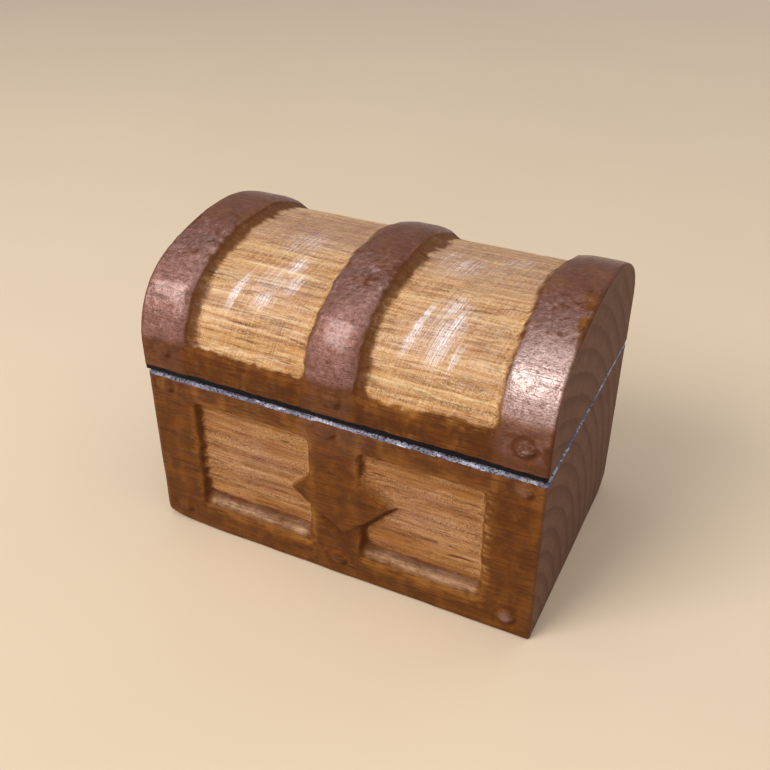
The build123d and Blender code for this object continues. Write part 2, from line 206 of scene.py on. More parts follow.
def base_relief(x, z, face):
    """Depth of the carving on the base's front (face -1) or back (face 1), with masks."""
    seed = 100 + 50 * face
    lumps, clouds, fibres = noises(x, z, seed)
    front = float(face < 0)  # only the front has the lozenge
    ax, side = np.abs(x), np.sign(x)
    wander_z = wander(z, seed, (0.32, 5.0, side * 3.1), (0.10, 1.3, side * 7.7))
    wander_x = wander(x, seed + 2, (0.30, 6.0, 0.3), (0.10, 1.4, 0.7))
    d_in = ax - (STRAP + wander_z)
    d_out = (BAND_IN - 0.2 + 0.8 * wander_z) - ax
    d_top = (PANEL_HIGH + wander_x) - z
    d_low = z - (PANEL_LOW + 0.6 * wander_x)
    to_right = np.where(x > 0, d_out, d_in)
    steep = soft_min([d_in, d_out, d_top], 0.45)
    edge = soft_min([steep, d_low], 0.45)

    walls = step(-0.15, 1.05, steep)
    up_ledge = np.clip(d_low / LEDGE, 0, 1)
    sill = 0.14 * step(-0.3, 0.5, d_low) + 0.86 * (1 - np.sqrt(1 - 0.93 * up_ledge**2)) / (1 - math.sqrt(0.07))
    panel = np.minimum(walls, sill) * (RELIEF + 0.06 * clouds(7, 5, 4))
    raised = 1 - np.clip(panel / RELIEF, 0, 1)
    inside = step(0.25, 0.9, walls) * step(LEDGE * 0.98, LEDGE * 1.14, d_low)
    # Painted highlight along the middle of the rolled sill under each panel; the same mask also lays a little
    # copper wax and bumps there.
    ledge = bell(d_low - 0.52 * LEDGE, 0.85) * step(0.2, 2.2, d_in) * step(0.2, 2.0, d_out)
    ledge = ledge * (0.65 + 0.35 * clouds(2.3, 1.2, 20))

    tilt = math.radians(PLATE_TILT)
    px = (x - PLATE_X) * math.cos(tilt) + (z - PLATE_Z) * math.sin(tilt)
    pz = -(x - PLATE_X) * math.sin(tilt) + (z - PLATE_Z) * math.cos(tilt) + 0.18 * lumps(2.5, 2.5, 8)
    plate_edge = (1 - (np.abs(px) / PLATE_HALF_X + np.abs(pz) / PLATE_HALF_Z)) * PLATE_SLOPE
    upper_right = step(-1.5, 1.5, px) * step(-1.0, 1.5, pz)
    plate = step(-0.45, 0.35, plate_edge) * (1 - upper_right) + step(-2.3, 1.3, plate_edge) * upper_right
    plate = front * plate
    bare = 1 - plate

    crest = 0.10 + 0.10 * clouds(5.2, 4.2, 9, 2) + 0.20 * step(1.3, 0.0, -edge) + 0.022 * fibres(7, 0.9, 10)
    split = cracks(x, z, 1.7, seed + 11) * inside * (0.45 + 0.55 * step(-0.2, 0.5, clouds(8, 4, 21)))
    split = split * step(-0.35, 0.15, lumps(1.9, 0.7, 24))
    grooves = fibres(11, 1.15, 12)
    depth = panel + crest * raised + 0.11 * inside * grooves + 0.14 * split
    depth = depth + 0.06 * ledge * clouds(1.7, 1.1, 13)
    plate_top = 0.06 + 0.07 * clouds(3.1, 2.4, 14) + 0.16 * step(2.2, 0.0, plate_edge)
    depth = depth * bare + plate_top * plate
    depth = depth + front * bell(plate_edge, 0.38) * raised * np.where(pz < 0, 0.38, 0.10)
    height, hollow, pit_shade = rivets(x, z, [(-face * u, v, high) for u, v, high in BASE_RIVETS])
    depth = np.maximum(depth + hollow, 0.02) - height

    ragged = 0.5 + 0.5 * lumps(1.6, 0.8, 15)
    # Painted shade, with some real stain: darker along each panel's left wall, in its lower left corner, under
    # the top rail, in the crease above the sill and round the rivets.
    left_wall_shade_and_stain = bell(np.clip(d_out - 0.2, 0, 9), 0.85) * (x < 0) * (0.45 + 0.6 * ragged)
    strap_side_shade_and_stain = bell(np.clip(d_in - 0.2, 0, 9), 0.80) * (x > 0) * (0.40 + 0.6 * ragged)
    low_left_corner_shade = np.exp(-np.hypot(np.where(x > 0, d_in, d_out), d_low - LEDGE) / 1.5)
    dark = 0.25 * bell(d_top - 0.55, 0.45) + 0.95 * bell(d_low - LEDGE, 0.52)
    dark = left_wall_shade_and_stain + strap_side_shade_and_stain + dark * (0.60 + 0.40 * clouds(2.1, 2.1, 16)) + 0.9 * low_left_corner_shade
    dark = dark * step(-0.3, 0.5, steep) * step(-0.1, 0.6, d_low)
    # Painted shadow under the lozenge's lower right edge, and painted shade along its lower edges.
    under_plate_shade_and_stain = bell(plate_edge + 0.40, 0.45) * step(-1.5, 1.5, px) * step(0.6, -0.6, pz)
    dark = dark * bare + front * (1.15 * under_plate_shade_and_stain + 0.30 * bell(plate_edge, 0.35) * (pz < 0))
    dark = np.clip(dark + 0.95 * pit_shade, 0, 1)

    amber = bell(edge + 0.30, 0.75) * (0.25 + 0.75 * step(-0.5, 0.3, clouds(5.5, 4.5, 17)))
    amber = np.maximum(amber, 0.85 * bell(d_low - 0.1, 0.6) * step(-0.5, 0.8, steep))
    under_top = 0.75 * bell(d_top - 1.6, 1.7) + 0.55 * bell(d_low - LEDGE - 1.6, 1.3)
    belts = under_top * (0.55 + 0.45 * ragged) + 0.60 * step(0.05, 0.45, fibres(15, 2.6, 22))
    amber = np.maximum(amber, inside * np.clip(belts, 0, 0.85) * step(0.6, 2.6, to_right))
    chips = step(0.15, 0.55, lumps(1.7, 5.0, 18)) * step(24.0, 29.0, z) * step(3.0, 5.0, ax)
    amber = np.clip(amber + 0.55 * chips, 0, 1) * (1 - 0.7 * plate)

    torn = bell(d_out + 0.1, 0.8) * (x > 0) * step(LEDGE, LEDGE + 1.5, d_low) * step(0.3, 1.5, d_top)
    torn = torn * step(0.0, 0.4, lumps(4.0, 0.5, 23))
    # Painted highlight on the lit right-hand edge of each panel.
    lit_edge = bell(to_right - 0.9, 1.0) * inside * (0.35 + 0.65 * ragged)
    band = np.clip(1 - np.clip(inside + 0.75 * torn, 0, 1) * bare - 0.35 * ledge * bare, 0, 1)
    upper = 0.12 * step(19, 29, z) * step(STRAP + 3.0, STRAP, ax) + 0.08 * step(24, 30, z)
    copper = band * (0.09 + upper) + 0.10 * ledge * bare + (0.3 + 0.5 * (x > 20)) * height
    # Painted pinkish grey sheen in the middle of each panel.
    painted_sheen_patch = bell(ax - 15.5, 6.5) * bell(z - 17.5, 5.5) * (0.6 + 0.4 * clouds(3, 2, 19))
    # Painted highlight on the ridges between the grooves, the lit edges and the torn wood, and painted glints
    # on the right-hand rivets.
    ridge_and_edge_highlight = np.clip(inside * np.clip(0.45 - grooves, 0, 1) + 0.9 * lit_edge + 0.5 * torn, 0, 1)
    return depth, dict(copper=copper, band=band, dark=dark, amber=amber, wear=0.9 * inside * bare * painted_sheen_patch,
                       ledge=ledge * bare, split=split * bare, light=ridge_and_edge_highlight * bare + 0.6 * height * (x > 20))


def facets_along(x, s):
    """Depth of the flats that the knife left between creases across a band."""
    at = np.array(CREASES)
    bent = s + 0.9 * value_noise(x / 5.0, s / 13.0, 351)
    k = np.clip(np.searchsorted(at, bent), 1, len(at) - 1)
    a, b = at[k - 1], at[k]
    u = np.clip((bent - a) / (b - a) * 2 - 1, -1, 1)
    return CREASE_SAG * (b - a) ** 2 * (1 - u * u) * (b - a < CREASE_FAR)


def lid_relief(x, s, low, high):
    """Depth of the carving on the lid at arc length s; low and high are the panels' ends on that arc."""
    seed = 300
    lumps, clouds, fibres = noises(x, s, seed)
    ax, side = np.abs(x), np.sign(x)
    end = high + low
    wander_out = wander(s, seed, (0.40, 6.0, side * 3.1 + 1), (0.16, 1.7, side * 5.3))
    wander_in = wander(s, seed + 2, (0.35, 5.0, side * 8.3 + 4), (0.14, 1.5, side * 2.9))
    wander_x = wander(x, seed + 4, (0.34, 6.0, 1.3), (0.12, 1.5, 2.7))
    d_in = ax - (STRAP + wander_in)
    d_out = (BAND_IN + wander_out) - ax
    d_low = s - (low - 0.7 * bell(x - 9.0, 5.0) + 1.3 * wander_x)
    d_high = (high - wander_x) - s
    left, right = np.where(x > 0, d_in, d_out), np.where(x > 0, d_out, d_in)
    edge = soft_min([d_in, d_out, d_low * 1.15, d_high * 1.15], 0.5)

    cut = soft_min([(left + 0.3) * 0.62, right, (d_low + 0.4) * 0.34, (d_high + 0.4) * 0.34], 0.3)
    top = step(24.0, 33.0, s) * step(end - 22.0, end - 30.0, s)
    wall = step(-0.55, 1.1 + 0.6 * top, cut)
    panel = wall * (RELIEF + 0.07 * clouds(8, 6, 6))
    torn = 0.45 * lumps(0.8, 3.5, 17) * step(2.0, 0.5, np.minimum(d_low, d_high))
    inside = step(-0.15, 0.45, edge + torn)
    on_band = 1 - inside
    shoulder_zone = step(18.5, 22.5, s) * step(35.0, 28.0, s)
    pillow = 0.46 * step(3.2, -0.4, -edge) + 0.14 * step(1.6, 0, HALF_L - ax)
    facets = facets_along(x, s) + 0.05 * clouds(3.4, 3.0, 8)
    rough = 0.014 * clouds(0.75, 0.6, 9, 2) * (1 - 0.7 * top) + 0.012 * fibres(6, 0.9, 10)
    rough = rough + 0.34 * clouds(3.0, 2.4, 18) * shoulder_zone
    crest = np.maximum(pillow + facets + rough, 0.01)
    split = cracks(x, s, 1.7, seed + 11) * inside * (0.40 + 0.60 * step(-0.2, 0.5, clouds(9, 5, 21)))
    grooves = fibres(10, 1.0, 12)
    rail = step(low + 0.6, low - 1.2, s) * step(0.3, 1.2, d_in) * step(0.3, 1.2, d_out)
    depth = panel + crest * (1 - wall) + 0.14 * inside * grooves + 0.19 * split
    depth = depth + rail * (0.16 + 0.05 * clouds(1.3, 2.2, 13))
    front_rivets = [(u, low - under, dome) for u, under, dome in LID_RIVETS]
    height, hollow, pit_shade = rivets(x, s, front_rivets + [(-u, end - v, dome) for u, v, dome in front_rivets])
    depth = np.maximum(depth + hollow, 0.02) - height

    toward_right = x * np.where(s < end / 2, 1, -1)
    lift = 2.2 * step(20, 28, toward_right)
    from_low = np.minimum(s, end - s) - low
    corner_zone = step(25.0, 29.0, toward_right) * step(2.8, 0.8, from_low) * step(-4.0, -2.4, from_low)
    above_rail = step(low - 0.6, low + 1.8, s - lift) * step(high + 0.6, high - 1.8, s + lift)
    strands = 0.5 + 0.5 * lumps(2.2, 0.85, 14)
    chunks = 0.5 + 0.5 * clouds(2.4, 2.0, 15)
    rail_marks = step(0.05, 0.50, lumps(0.45, 2.2, 28)) * rail * step(-0.35, 0.30, clouds(3.5, 2.5, 29))
    rail_stain = step(-0.05, 0.45, clouds(1.5, 0.8, 30)) * rail
    # Crown of each panel: darkened as painted shade and made pinkish as wear with painted sheen.
    crown = step(25.0, 34.0, s) * step(50.0, 42.0, s) * inside * step(0.0, 3.0, left)

    # Painted shade, with some real stain: darker along each panel's left edge, less along its right edge and
    # its ends, round the rivets and over the crown.
    dark = bell(np.clip(left - 0.8, 0, 30), 0.7 + 1.6 * strands * chunks) * (0.66 + 0.60 * chunks)
    dark = dark + bell(np.clip(right - 0.3, 0, 30), 0.55) * (0.15 + 0.60 * strands)
    dark = dark + 0.45 * strands * bell(d_low - 0.3, 0.5) + 0.5 * bell(d_high - 0.3, 0.6)
    # Dark flecks on the dented shoulders of the bands: painted shade of the dents.
    dent_shade_flecks = 0.55 * step(0.05, 0.45, clouds(0.7, 0.6, 22)) + 0.46 * step(-0.15, 0.45, clouds(2.2, 1.8, 25))
    smear = corner_zone * step(-0.60, 0.20, clouds(1.5, 0.9, 26))
    dark = 0.92 * dark * step(-0.7, 0.1, edge) + 0.95 * pit_shade + dent_shade_flecks * shoulder_zone * on_band
    dark = np.clip(dark + 0.62 * smear + 0.36 * crown + 0.32 * rail_stain, 0, 1)

    near_ends = step(STRAP + 1.0, STRAP - 1.5, ax) + step(BAND_IN - 1.0, BAND_IN + 2.0, ax)
    torn_edge = bell(np.clip(HALF_L - x - 0.8, 0, 99), 1.6) * step(19.0, 23.0, s) * step(36.0, 31.0, s)
    torn_edge = torn_edge * step(-0.35, 0.35, clouds(0.6, 1.5, 23))
    copper = on_band * (0.10 + 0.82 * above_rail * (1 - rail) + 0.16 * (1 - above_rail) * near_ends)
    copper = copper * (1 - 0.58 * top) * (1 - 0.85 * torn_edge) * step(-0.5, 0.5, -edge)
    copper = np.clip(copper + 0.15 * height + 0.26 * corner_zone * (0.35 + 0.65 * chunks), 0, 1)

    amber = np.clip(bell(d_low + 0.4, 0.9) + 0.6 * bell(edge + 0.3, 0.6), 0, 1)
    amber = amber * (0.10 + 0.65 * step(-0.3, 0.5, clouds(4.5, 3.0, 16)))
    amber = amber * step(0, 1.5, d_in + 1.5) * step(0, 1.5, d_out + 1.5)
    wall_side = bell(left - 0.1, 0.9) * step(16.0, 22.0, s) * step(end - 16.0, end - 22.0, s)
    tip = corner_zone * step(2.4, 0.6, HALF_L - ax) * step(-1.6, -2.8, from_low)
    amber = np.clip(amber + 0.6 * torn_edge + 0.5 * wall_side * chunks + 0.7 * tip + 0.35 * rail_marks, 0, 1)

    # Painted highlights: a brighter rubbed shoulder on the right band, glints on the dented shoulders, sparkle
    # on the right corner's rivet, spots on the rail and lighter ridges between the grooves.
    rub_and_highlight = np.where(ax < STRAP + 2, 0.0, np.where(x > 0, 0.58, 0.04))
    rub_and_highlight = rub_and_highlight * (bell(s - 14.0, 7.0) + bell(s - end + 14.0, 7.0))
    painted_glints = step(0.15, 0.55, clouds(0.55, 0.5, 24)) * shoulder_zone * 0.26
    painted_sparkle = step(0.10, 0.45, clouds(0.26, 0.22, 27)) * step(0.02, 0.16, height) * corner_zone
    light = on_band * (rub_and_highlight + painted_glints + 0.95 * painted_sparkle) + 0.40 * rail_marks
    light = light + inside * np.clip(0.45 - grooves, 0, 1)
    # Painted whitish sheen round the bundles of scratches.
    haze = np.full_like(x, 0.10)
    for sx, ss, wide, long, strength in SCRATCHES:
        across = x - sx - (s - ss) * SCRATCH_SLANT
        haze = np.maximum(haze, strength * bell(across, wide) * bell(s - ss, long))
    # Panels lighter in the middle and pinkish over the crown: wear with painted sheen.
    middle = bell(s - 19.0, 8.0) * inside * step(0.5, 5.0, left) * step(0.0, 3.0, right)
    return depth, dict(copper=copper, band=on_band, dark=dark, amber=amber, wear=0.50 * middle + 0.95 * crown,
                       split=split, light=light, haze=haze * inside)


# ---------------------------------------------------------------- mesh building
class Shell:
    """Collects vertices in mm, their masks and faces, and makes one object of them."""

    MASKS = "copper band dark amber wear ledge end seam inside split light haze".split()

    def __init__(self):
        self.points, self.masks, self.flow, self.faces, self.count = [], [], [], [], 0

    def add(self, points, flow=None, **masks):
        """Adds an array of points shaped (..., 3), and returns their indices in the same shape."""
        points = np.asarray(points, float)
        shape, flat = points.shape[:-1], points.reshape(-1, 3)
        index = np.arange(self.count, self.count + len(flat)).reshape(shape)
        self.points.append(flat)
        columns = [np.broadcast_to(masks.get(name, 0.0), shape).ravel() for name in self.MASKS]
        self.masks.append(np.stack(columns, 1))
        self.flow.append(flat[:, [0, 2]] if flow is None else np.stack([f.ravel() for f in flow], 1))
        self.count += len(flat)
        return index

    def strip(self, a, b, flip=False):
        """Quads between two open rows of equal length; a to b is on the left of the rows' direction."""
        quads = np.stack([a[:-1], a[1:], b[1:], b[:-1]], 1)
        self.faces += (quads[:, ::-1] if flip else quads).tolist()

    def grow(self, row, points, flip=False, **masks):
        """Adds a closed row of points, joins it to the last one and returns its indices."""
        new = self.add(points, **masks)
        self.strip(np.append(row, row[0]), np.append(new, new[0]), flip)
        return new

    def fan(self, row, centre, flip=False):
        """Triangles from a closed row to one vertex."""
        tris = np.stack([row, np.roll(row, -1), np.full(len(row), centre)], 1)
        self.faces += (tris[:, ::-1] if flip else tris).tolist()

    def build(self, name, sharp=38):
        points = np.concatenate(self.points) * MM
        mesh = bpy.data.meshes.new(name)
        mesh.from_pydata(points.tolist(), [], self.faces)
        masks = np.concatenate(self.masks).clip(0, 1)
        for k, label in enumerate(("carve_a", "carve_b", "carve_c", "carve_d")):
            rgba = np.ones((len(points), 4), np.float32)
            rgba[:, :3] = masks[:, 3 * k:3 * k + 3]
            mesh.attributes.new(label, "FLOAT_COLOR", "POINT").data.foreach_set("color", rgba.ravel())
        flow = np.zeros((len(points), 3), np.float32)
        flow[:, :2] = np.concatenate(self.flow)
        mesh.attributes.new("flow", "FLOAT_VECTOR", "POINT").data.foreach_set("vector", flow.ravel())
        mesh.validate()
        mesh.shade_smooth()
        mesh.set_sharp_from_angle(angle=math.radians(sharp))
        obj = bpy.data.objects.new(name, mesh)
        bpy.context.scene.collection.objects.link(obj)
        return obj


def at_height(xy, z):
    """Points of a plan at one height, or each at its own."""
    return np.column_stack([xy, np.broadcast_to(z, len(xy))])


def round_rect(fraction, lo, hi, inset, radius, least):
    """Points of a rounded rectangle between two corners, moved in by inset, its radius no less than the least.
    Fraction runs 0 to 4, one unit a side between the corners' middles, anticlockwise from the front left."""
    x0, y0, x1, y1 = lo[0] + inset, lo[1] + inset, hi[0] - inset, hi[1] - inset
    radius = max(radius - inset, least)
    side = np.floor(fraction).astype(int) % 4
    f = fraction - np.floor(fraction)
    out = np.zeros((len(fraction), 2))
    corners = np.array([(x0, y0), (x1, y0), (x1, y1), (x0, y1)], float)
    for k in range(4):
        a, b = corners[k], corners[(k + 1) % 4]
        along = (b - a) / np.linalg.norm(b - a)
        inward = np.array([-along[1], along[0]])
        arc = radius * math.pi / 4
        total = 2 * arc + np.linalg.norm(b - a) - 2 * radius
        d = f * total
        pick = side == k
        first = pick & (d < arc)
        last = pick & (d > total - arc)
        mid = pick & ~first & ~last
        turn = math.pi / 4 - d[first] / radius
        out[first] = (a + radius * (along + inward)) - radius * (
            np.outer(np.sin(turn), along) + np.outer(np.cos(turn), inward))
        turn = (d[last] - (total - arc)) / radius
        out[last] = (b + radius * (inward - along)) + radius * (
            np.outer(np.sin(turn), along) - np.outer(np.cos(turn), inward))
        out[mid] = a + np.outer(radius + d[mid] - arc, along)
    return out


def side_fraction(x, y, half_x, half_y):
    """Where a point on a rectangle's outline is, as round_rect's fraction."""
    u, v = x / half_x, y / half_y
    front_back = np.abs(v) >= np.abs(u)
    with np.errstate(divide="ignore", invalid="ignore"):
        f = np.where(front_back, u / np.abs(v), v / np.abs(u))
    full = 1 - 1e-9
    f = np.clip((f + 1) / 2, 0, full)
    return np.where(front_back, np.where(v < 0, f, 2 + full - f), np.where(u > 0, 1 + f, 3 + full - f))


def seam_width(x, y):
    """Width of the painted edge: broad along the front, narrow along the back."""
    back = np.clip((y + HALF_D) / (2 * HALF_D), 0, 1)
    ragged = 0.09 * value_noise(x / 2.3, y / 2.3, 41) + 0.05 * value_noise(x / 0.7, y / 0.7, 42)
    return 1.05 * (1 - back) + 0.42 * back + ragged * (1 - 0.5 * back)


def hollow_out(shell, row, outline, rim_z, heights, flip=False):
    """Bare rim from a block's painted edge to its hollow, then the hollow's wall and floor or ceiling."""
    fraction = side_fraction(outline[:, 0], outline[:, 1], HALF_L - 0.9, HALF_D - 0.9)

    def ring(inset):
        return round_rect(fraction, (-HOLLOW_X, HOLLOW_Y0), (HOLLOW_X, HOLLOW_Y1), inset, HOLLOW_R, 0.5)

    for w in (0.04, 0.5, 0.95):
        xy = outline[:, :2] * (1 - w) + ring(0) * w
        row = shell.grow(row, at_height(xy, rim_z), flip, inside=1, seam=float(w < 0.1))
    for z in heights:
        row = shell.grow(row, at_height(ring(0), z), flip, inside=1)
    row = shell.grow(row, at_height(ring(9), heights[-1]), flip, inside=1)
    shell.fan(row, shell.add([[0, -1, heights[-1]]], inside=1)[0], flip)


# ---------------------------------------------------------------- base
def make_base():
    shell = Shell()
    radii = (1.3, 0.6, 0.7, 0.9)  # of the upright edges: front left, front right, back right, back left
    counts = (244, 64, 190, 64)   # columns of the front, the right end, the back and the left end
    n_arc, n_rows, n_edge = 8, 104, 4
    top = BASE_TOP - RIM_DROP

    # Columns round the outline: sides are kinds 0 to 3, and the corner after side k is kind 4 + k.
    arc = np.linspace(0, 1, n_arc + 2)[1:-1]
    kinds = np.concatenate([np.repeat((k, 4 + k), (counts[k], n_arc)) for k in range(4)])
    t = np.concatenate([part for k in range(4) for part in (np.linspace(-1, 1, counts[k]), arc)])
    columns = [np.flatnonzero(kinds == k) for k in range(8)]
    corner_r = [radii[(k + 1) % 4] for k in range(4)]
    signs = ((1, -1), (1, 1), (-1, 1), (-1, -1))
    crest_x = HALF_L * np.select([kinds == 0, kinds == 2, np.isin(kinds, (1, 4, 5))], [t, -t, 1], -1)
    crest_y = HALF_D * np.select([kinds == 1, kinds == 3, np.isin(kinds, (2, 5, 6))], [t, -t, 1], -1)
    chamfer = seam_width(crest_x, crest_y)
    front_left = np.exp(-np.hypot(crest_x + HALF_L, crest_y + HALF_D) / 3.0)
    foot = 0.5 + 1.5 * front_left + 1.7 * step(HALF_D - 4.0, HALF_D, crest_y)

    def place(inset, z, relief):
        """Row of points on the outline moved in by inset, with the relief's depth on each face."""
        x, y = np.zeros(len(t)), np.zeros(len(t))
        r = [np.maximum(radius - inset, 0.12) for radius in corner_r]
        for k in range(4):
            m = columns[k]
            half, deep = (HALF_L, HALF_D) if k % 2 == 0 else (HALF_D, HALF_L)
            low, high = -(half - inset - r[k - 1])[m], (half - inset - r[k])[m]
            along = low + (high - low) * (t[m] + 1) / 2
            out = deep - inset[m] - relief[m]
            x[m], y[m] = ((along, -out), (out, along), (-along, out), (-out, -along))[k]
            m = columns[4 + k]
            angle, (sx, sy), q = np.radians(90 * (k - 1 + t[m])), signs[k], r[k][m]
            x[m] = sx * (HALF_L - inset[m] - q) + (q - relief[m]) * np.cos(angle)
            y[m] = sy * (HALF_D - inset[m] - q) + (q - relief[m]) * np.sin(angle)
        return np.stack([x, y, z], -1)

    def relief_row(z):
        """Carved depth and masks at height z of every column."""
        depth = np.zeros(len(t))
        masks = {name: np.zeros(len(t)) for name in Shell.MASKS if name not in ("seam", "inside")}
        for k, face in ((0, -1), (2, 1)):
            m = columns[k]
            x = -face * t[m] * np.where(t[m] < 0, HALF_L - radii[k], HALF_L - radii[k + 1])
            depth[m], found = base_relief(x, z[m], face)
            for name, values in found.items():
                masks[name][m] = values
        for k in (1, 3):
            m = columns[k]
            y = (2 - k) * t[m] * (HALF_D - radii[1])
            fibres = 0.012 * value_noise(y / 0.9, z[m] / 7, 210 + k)
            depth[m] = 0.05 + 0.04 * fbm(y / 6, z[m] / 6, 200 + k) + fibres
            near = np.minimum(y + HALF_D, HALF_D - y)
            masks["end"][m] = step(0.15, 0.9, near)
            masks["band"][m] = 1
            masks["dark"][m] = 0.55 * bell(near, 0.7)
        for k in range(4):
            a, b, m = columns[k][-1], columns[(k + 1) % 4][0], columns[4 + k]
            depth[m] = np.clip(depth[a] * (1 - t[m]) + depth[b] * t[m], 0, 0.2)
            for values in masks.values():
                values[m] = values[a] * (1 - t[m]) + values[b] * t[m]
        return depth, masks

    zero = np.zeros(len(t))
    ground = place(foot, zero, np.clip(relief_row(foot)[0], 0, 0.3))
    centre = shell.add([[0, 0, 0]], band=1)[0]
    row = shell.add(ground * (0.25, 0.25, 1), band=1)
    shell.fan(row, centre, flip=True)
    for scale in (0.7, 0.97):
        row = shell.grow(row, ground * (scale, scale, 1), band=1)
    for turn in np.linspace(0, math.pi / 2, n_edge + 1):
        z = foot * (1 - math.cos(turn))
        depth, masks = relief_row(z)
        row = shell.grow(row, place(foot * (1 - math.sin(turn)), z, depth), **masks)
    drop = chamfer * BASE_SEAM_Z
    for w in np.linspace(0, 1, n_rows)[1:]:
        z = foot + (top - drop - foot) * w
        depth, masks = relief_row(z)
        depth = np.where(top - drop - z < 0.9, np.maximum(depth, -0.1), depth)
        row = shell.grow(row, place(zero, z, depth), **masks)
    for k in range(n_edge + 1):
        w = k / n_edge
        ripple = 0.05 * value_noise(crest_x / 0.8, crest_y / 0.8 + k, 43) * math.sin(math.pi * w)
        points = place(chamfer * w, top - drop * (1 - w), np.clip(depth, 0, 0.3) * (1 - w) + ripple)
        # light sets where the painted reflection on this painted edge is bright: dull at the left end, bright
        # from x = -12 mm on.
        row = shell.grow(row, points, band=1, seam=1, light=step(-34.0, -12.0, crest_x), end=masks["end"])
    hollow_out(shell, row, points, top, (top - 0.25, top - 3, top - 12, FLOOR_Z))
    return shell.build("carved_base")


# ---------------------------------------------------------------- lid
def half_section(side, start_z):
    """Crest of the lid's front (side -1) or back (side 1) half, from the wall's foot up to the crown."""
    wall_top, r = (FRONT_WALL_TOP, FRONT_SHOULDER_R) if side < 0 else (BACK_WALL_TOP, BACK_SHOULDER_R)
    rise = TOP_Z - wall_top
    run = HALF_D - side * CROWN_Y - r
    crown_r = (run**2 + rise**2 - r**2) / (2 * (rise - r))
    angle = math.atan2(crown_r - rise, run)
    meet = math.atan2(rise - crown_r + crown_r * math.sin(angle), crown_r * math.cos(angle) - run)
    wall = np.linspace(start_z, wall_top, 201)
    a, b = np.linspace(0, meet, 501)[1:], np.linspace(meet, math.pi / 2, 401)[1:]
    out = np.concatenate([np.full(len(wall), run + r), run + r * np.cos(a), crown_r * np.cos(b)])
    z = np.concatenate([wall, wall_top + r * np.sin(a), TOP_Z - crown_r + crown_r * np.sin(b)])
    return np.array([CROWN_Y + side * out, z])


def lid_profile(start_z, count):
    """Even points of the lid's crest section, front foot to back foot: arc length, y, z and outward normal."""
    y, z = np.concatenate([half_section(-1, start_z), half_section(1, start_z)[:, -2::-1]], 1)
    s = np.concatenate([[0], np.cumsum(np.hypot(np.diff(y), np.diff(z)))])
    even = np.linspace(0, s[-1], count)
    py, pz = np.interp(even, s, y), np.interp(even, s, z)
    ty, tz = np.gradient(py, even), np.gradient(pz, even)
    length = np.hypot(ty, tz)
    return even, py, pz, -tz / length, ty / length


